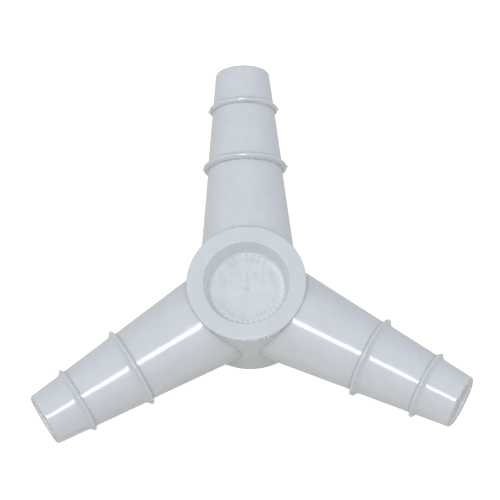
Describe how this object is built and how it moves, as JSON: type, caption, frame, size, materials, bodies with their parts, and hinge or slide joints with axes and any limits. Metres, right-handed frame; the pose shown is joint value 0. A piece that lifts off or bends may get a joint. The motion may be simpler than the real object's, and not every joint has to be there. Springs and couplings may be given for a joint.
{
  "type": "barbed three-way hose connector",
  "caption": "Three-way barbed hose connector: tapered hose tails at equal angles round a flat hub with a recess in each face, joining soft irrigation hose ends.",
  "frame": {"origin": "middle of the hub, where the three bore axes meet", "axes": "+Z along the hub's axis towards its marked face, +Y out along hose_tail_1; the other tails are at 120 degrees to it in the XY plane"},
  "size_m": [0.0808, 0.0701, 0.017],
  "materials": {
    "plastic": "glossy injection-moulded, bluish white"
  },
  "bodies": {
    "root": {"hub_core": "plastic", "front_collar": "plastic", "back_collar": "plastic", "raised_marks": "plastic", "hose_tail_1": "plastic", "hose_tail_2": "plastic", "hose_tail_3": "plastic"}
  },
  "joints": []
}
